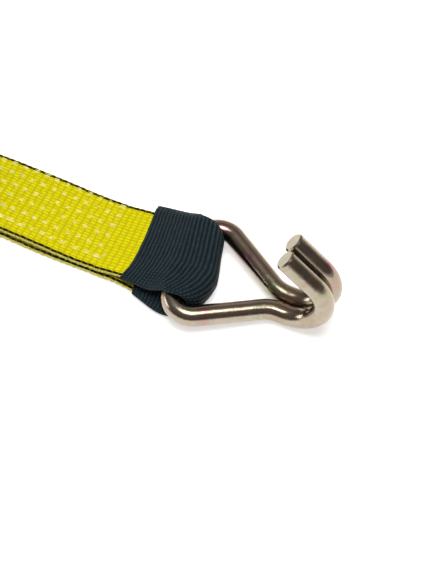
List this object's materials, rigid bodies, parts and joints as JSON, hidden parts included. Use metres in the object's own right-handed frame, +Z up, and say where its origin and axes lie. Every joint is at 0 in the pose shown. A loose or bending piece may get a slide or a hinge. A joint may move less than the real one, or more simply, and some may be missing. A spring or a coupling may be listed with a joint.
{
  "type": "ratchet strap",
  "caption": "Fixed end of a 50 mm ratchet tie-down: ratchet buckle with folding handle, short sewn webbing loop with a wear sleeve, and a double-J wire hook.",
  "frame": {"origin": "centre of the bounding box in plan, on the surface that the strap lies on", "axes": "+X along the strap from the ratchet to the hook, +Y across the webbing, +Z up from the surface"},
  "size_m": [0.4843, 0.1018, 0.0657],
  "materials": {
    "zinc_plate": "zinc plated with a yellow passivate: rose, gold and green tints, satin",
    "bright_steel": "bright zinc plated steel, satin",
    "spring_steel": "drawn spring wire, bright",
    "black_moulding": "fine grained black moulding",
    "yellow_webbing": "woven polyester webbing, ribbed across, black line along each edge",
    "thread": "cream sewing thread",
    "black_sleeve": "blue-black woven tube, ribbed across"
  },
  "bodies": {
    "frame": {"frame_channel": "zinc_plate", "anchor_bolt": "bright_steel", "anchor_nut": "bright_steel", "anchor_washers": "bright_steel", "spacer_tube": "bright_steel", "lock_pawl_spring": "spring_steel"},
    "spool": {"spool_half_upper": "bright_steel", "spool_half_lower": "bright_steel", "ratchet_wheel_near": "zinc_plate", "ratchet_wheel_far": "zinc_plate", "spool_washers": "bright_steel", "cotter_pin_near": "bright_steel", "cotter_pin_far": "bright_steel"},
    "handle": {"handle_arm_near": "zinc_plate", "handle_arm_far": "zinc_plate", "spring_bar": "bright_steel", "handle_grip": "black_moulding", "grip_bolt": "bright_steel", "grip_nut": "bright_steel", "drive_pawl_spring": "spring_steel"},
    "drive_pawl": {"drive_pawl": "zinc_plate"},
    "lock_pawl": {"lock_pawl": "zinc_plate"},
    "strap": {"webbing": "yellow_webbing", "stitching": "thread", "wear_sleeve": "black_sleeve"},
    "hook": {"hook": "zinc_plate"}
  },
  "joints": [
    {"name": "handle_swing", "type": "hinge", "parent": "frame", "child": "handle", "pos_m": [-0.21957, 0, 0.0245], "axis": [0, -1, 0], "range_deg": [0, 180]},
    {"name": "spool_turn", "type": "hinge", "parent": "frame", "child": "spool", "pos_m": [-0.21957, 0, 0.0245], "axis": [0, -1, 0], "continuous": true},
    {"name": "drive_pawl_slide", "type": "slide", "parent": "handle", "child": "drive_pawl", "axis": [-1, 0, 0], "range_m": [0, 0.0052], "stiffness_N_per_m": 900, "springref_m": 0.0052, "deforming": ["drive_pawl_spring"]},
    {"name": "lock_pawl_slide", "type": "slide", "parent": "frame", "child": "lock_pawl", "axis": [-1, 0, 0], "range_m": [0, 0.005], "stiffness_N_per_m": 900, "springref_m": 0.005, "deforming": ["lock_pawl_spring"]},
    {"name": "strap_swing", "type": "hinge", "parent": "frame", "child": "strap", "pos_m": [-0.11157, 0, 0.0125], "axis": [0, -1, 0], "range_deg": [-60, 12]},
    {"name": "hook_swing", "type": "hinge", "parent": "strap", "child": "hook", "pos_m": [0.14843, -0.005, 0.01115], "axis": [0, -1, 0], "range_deg": [-35, 45]}
  ]
}
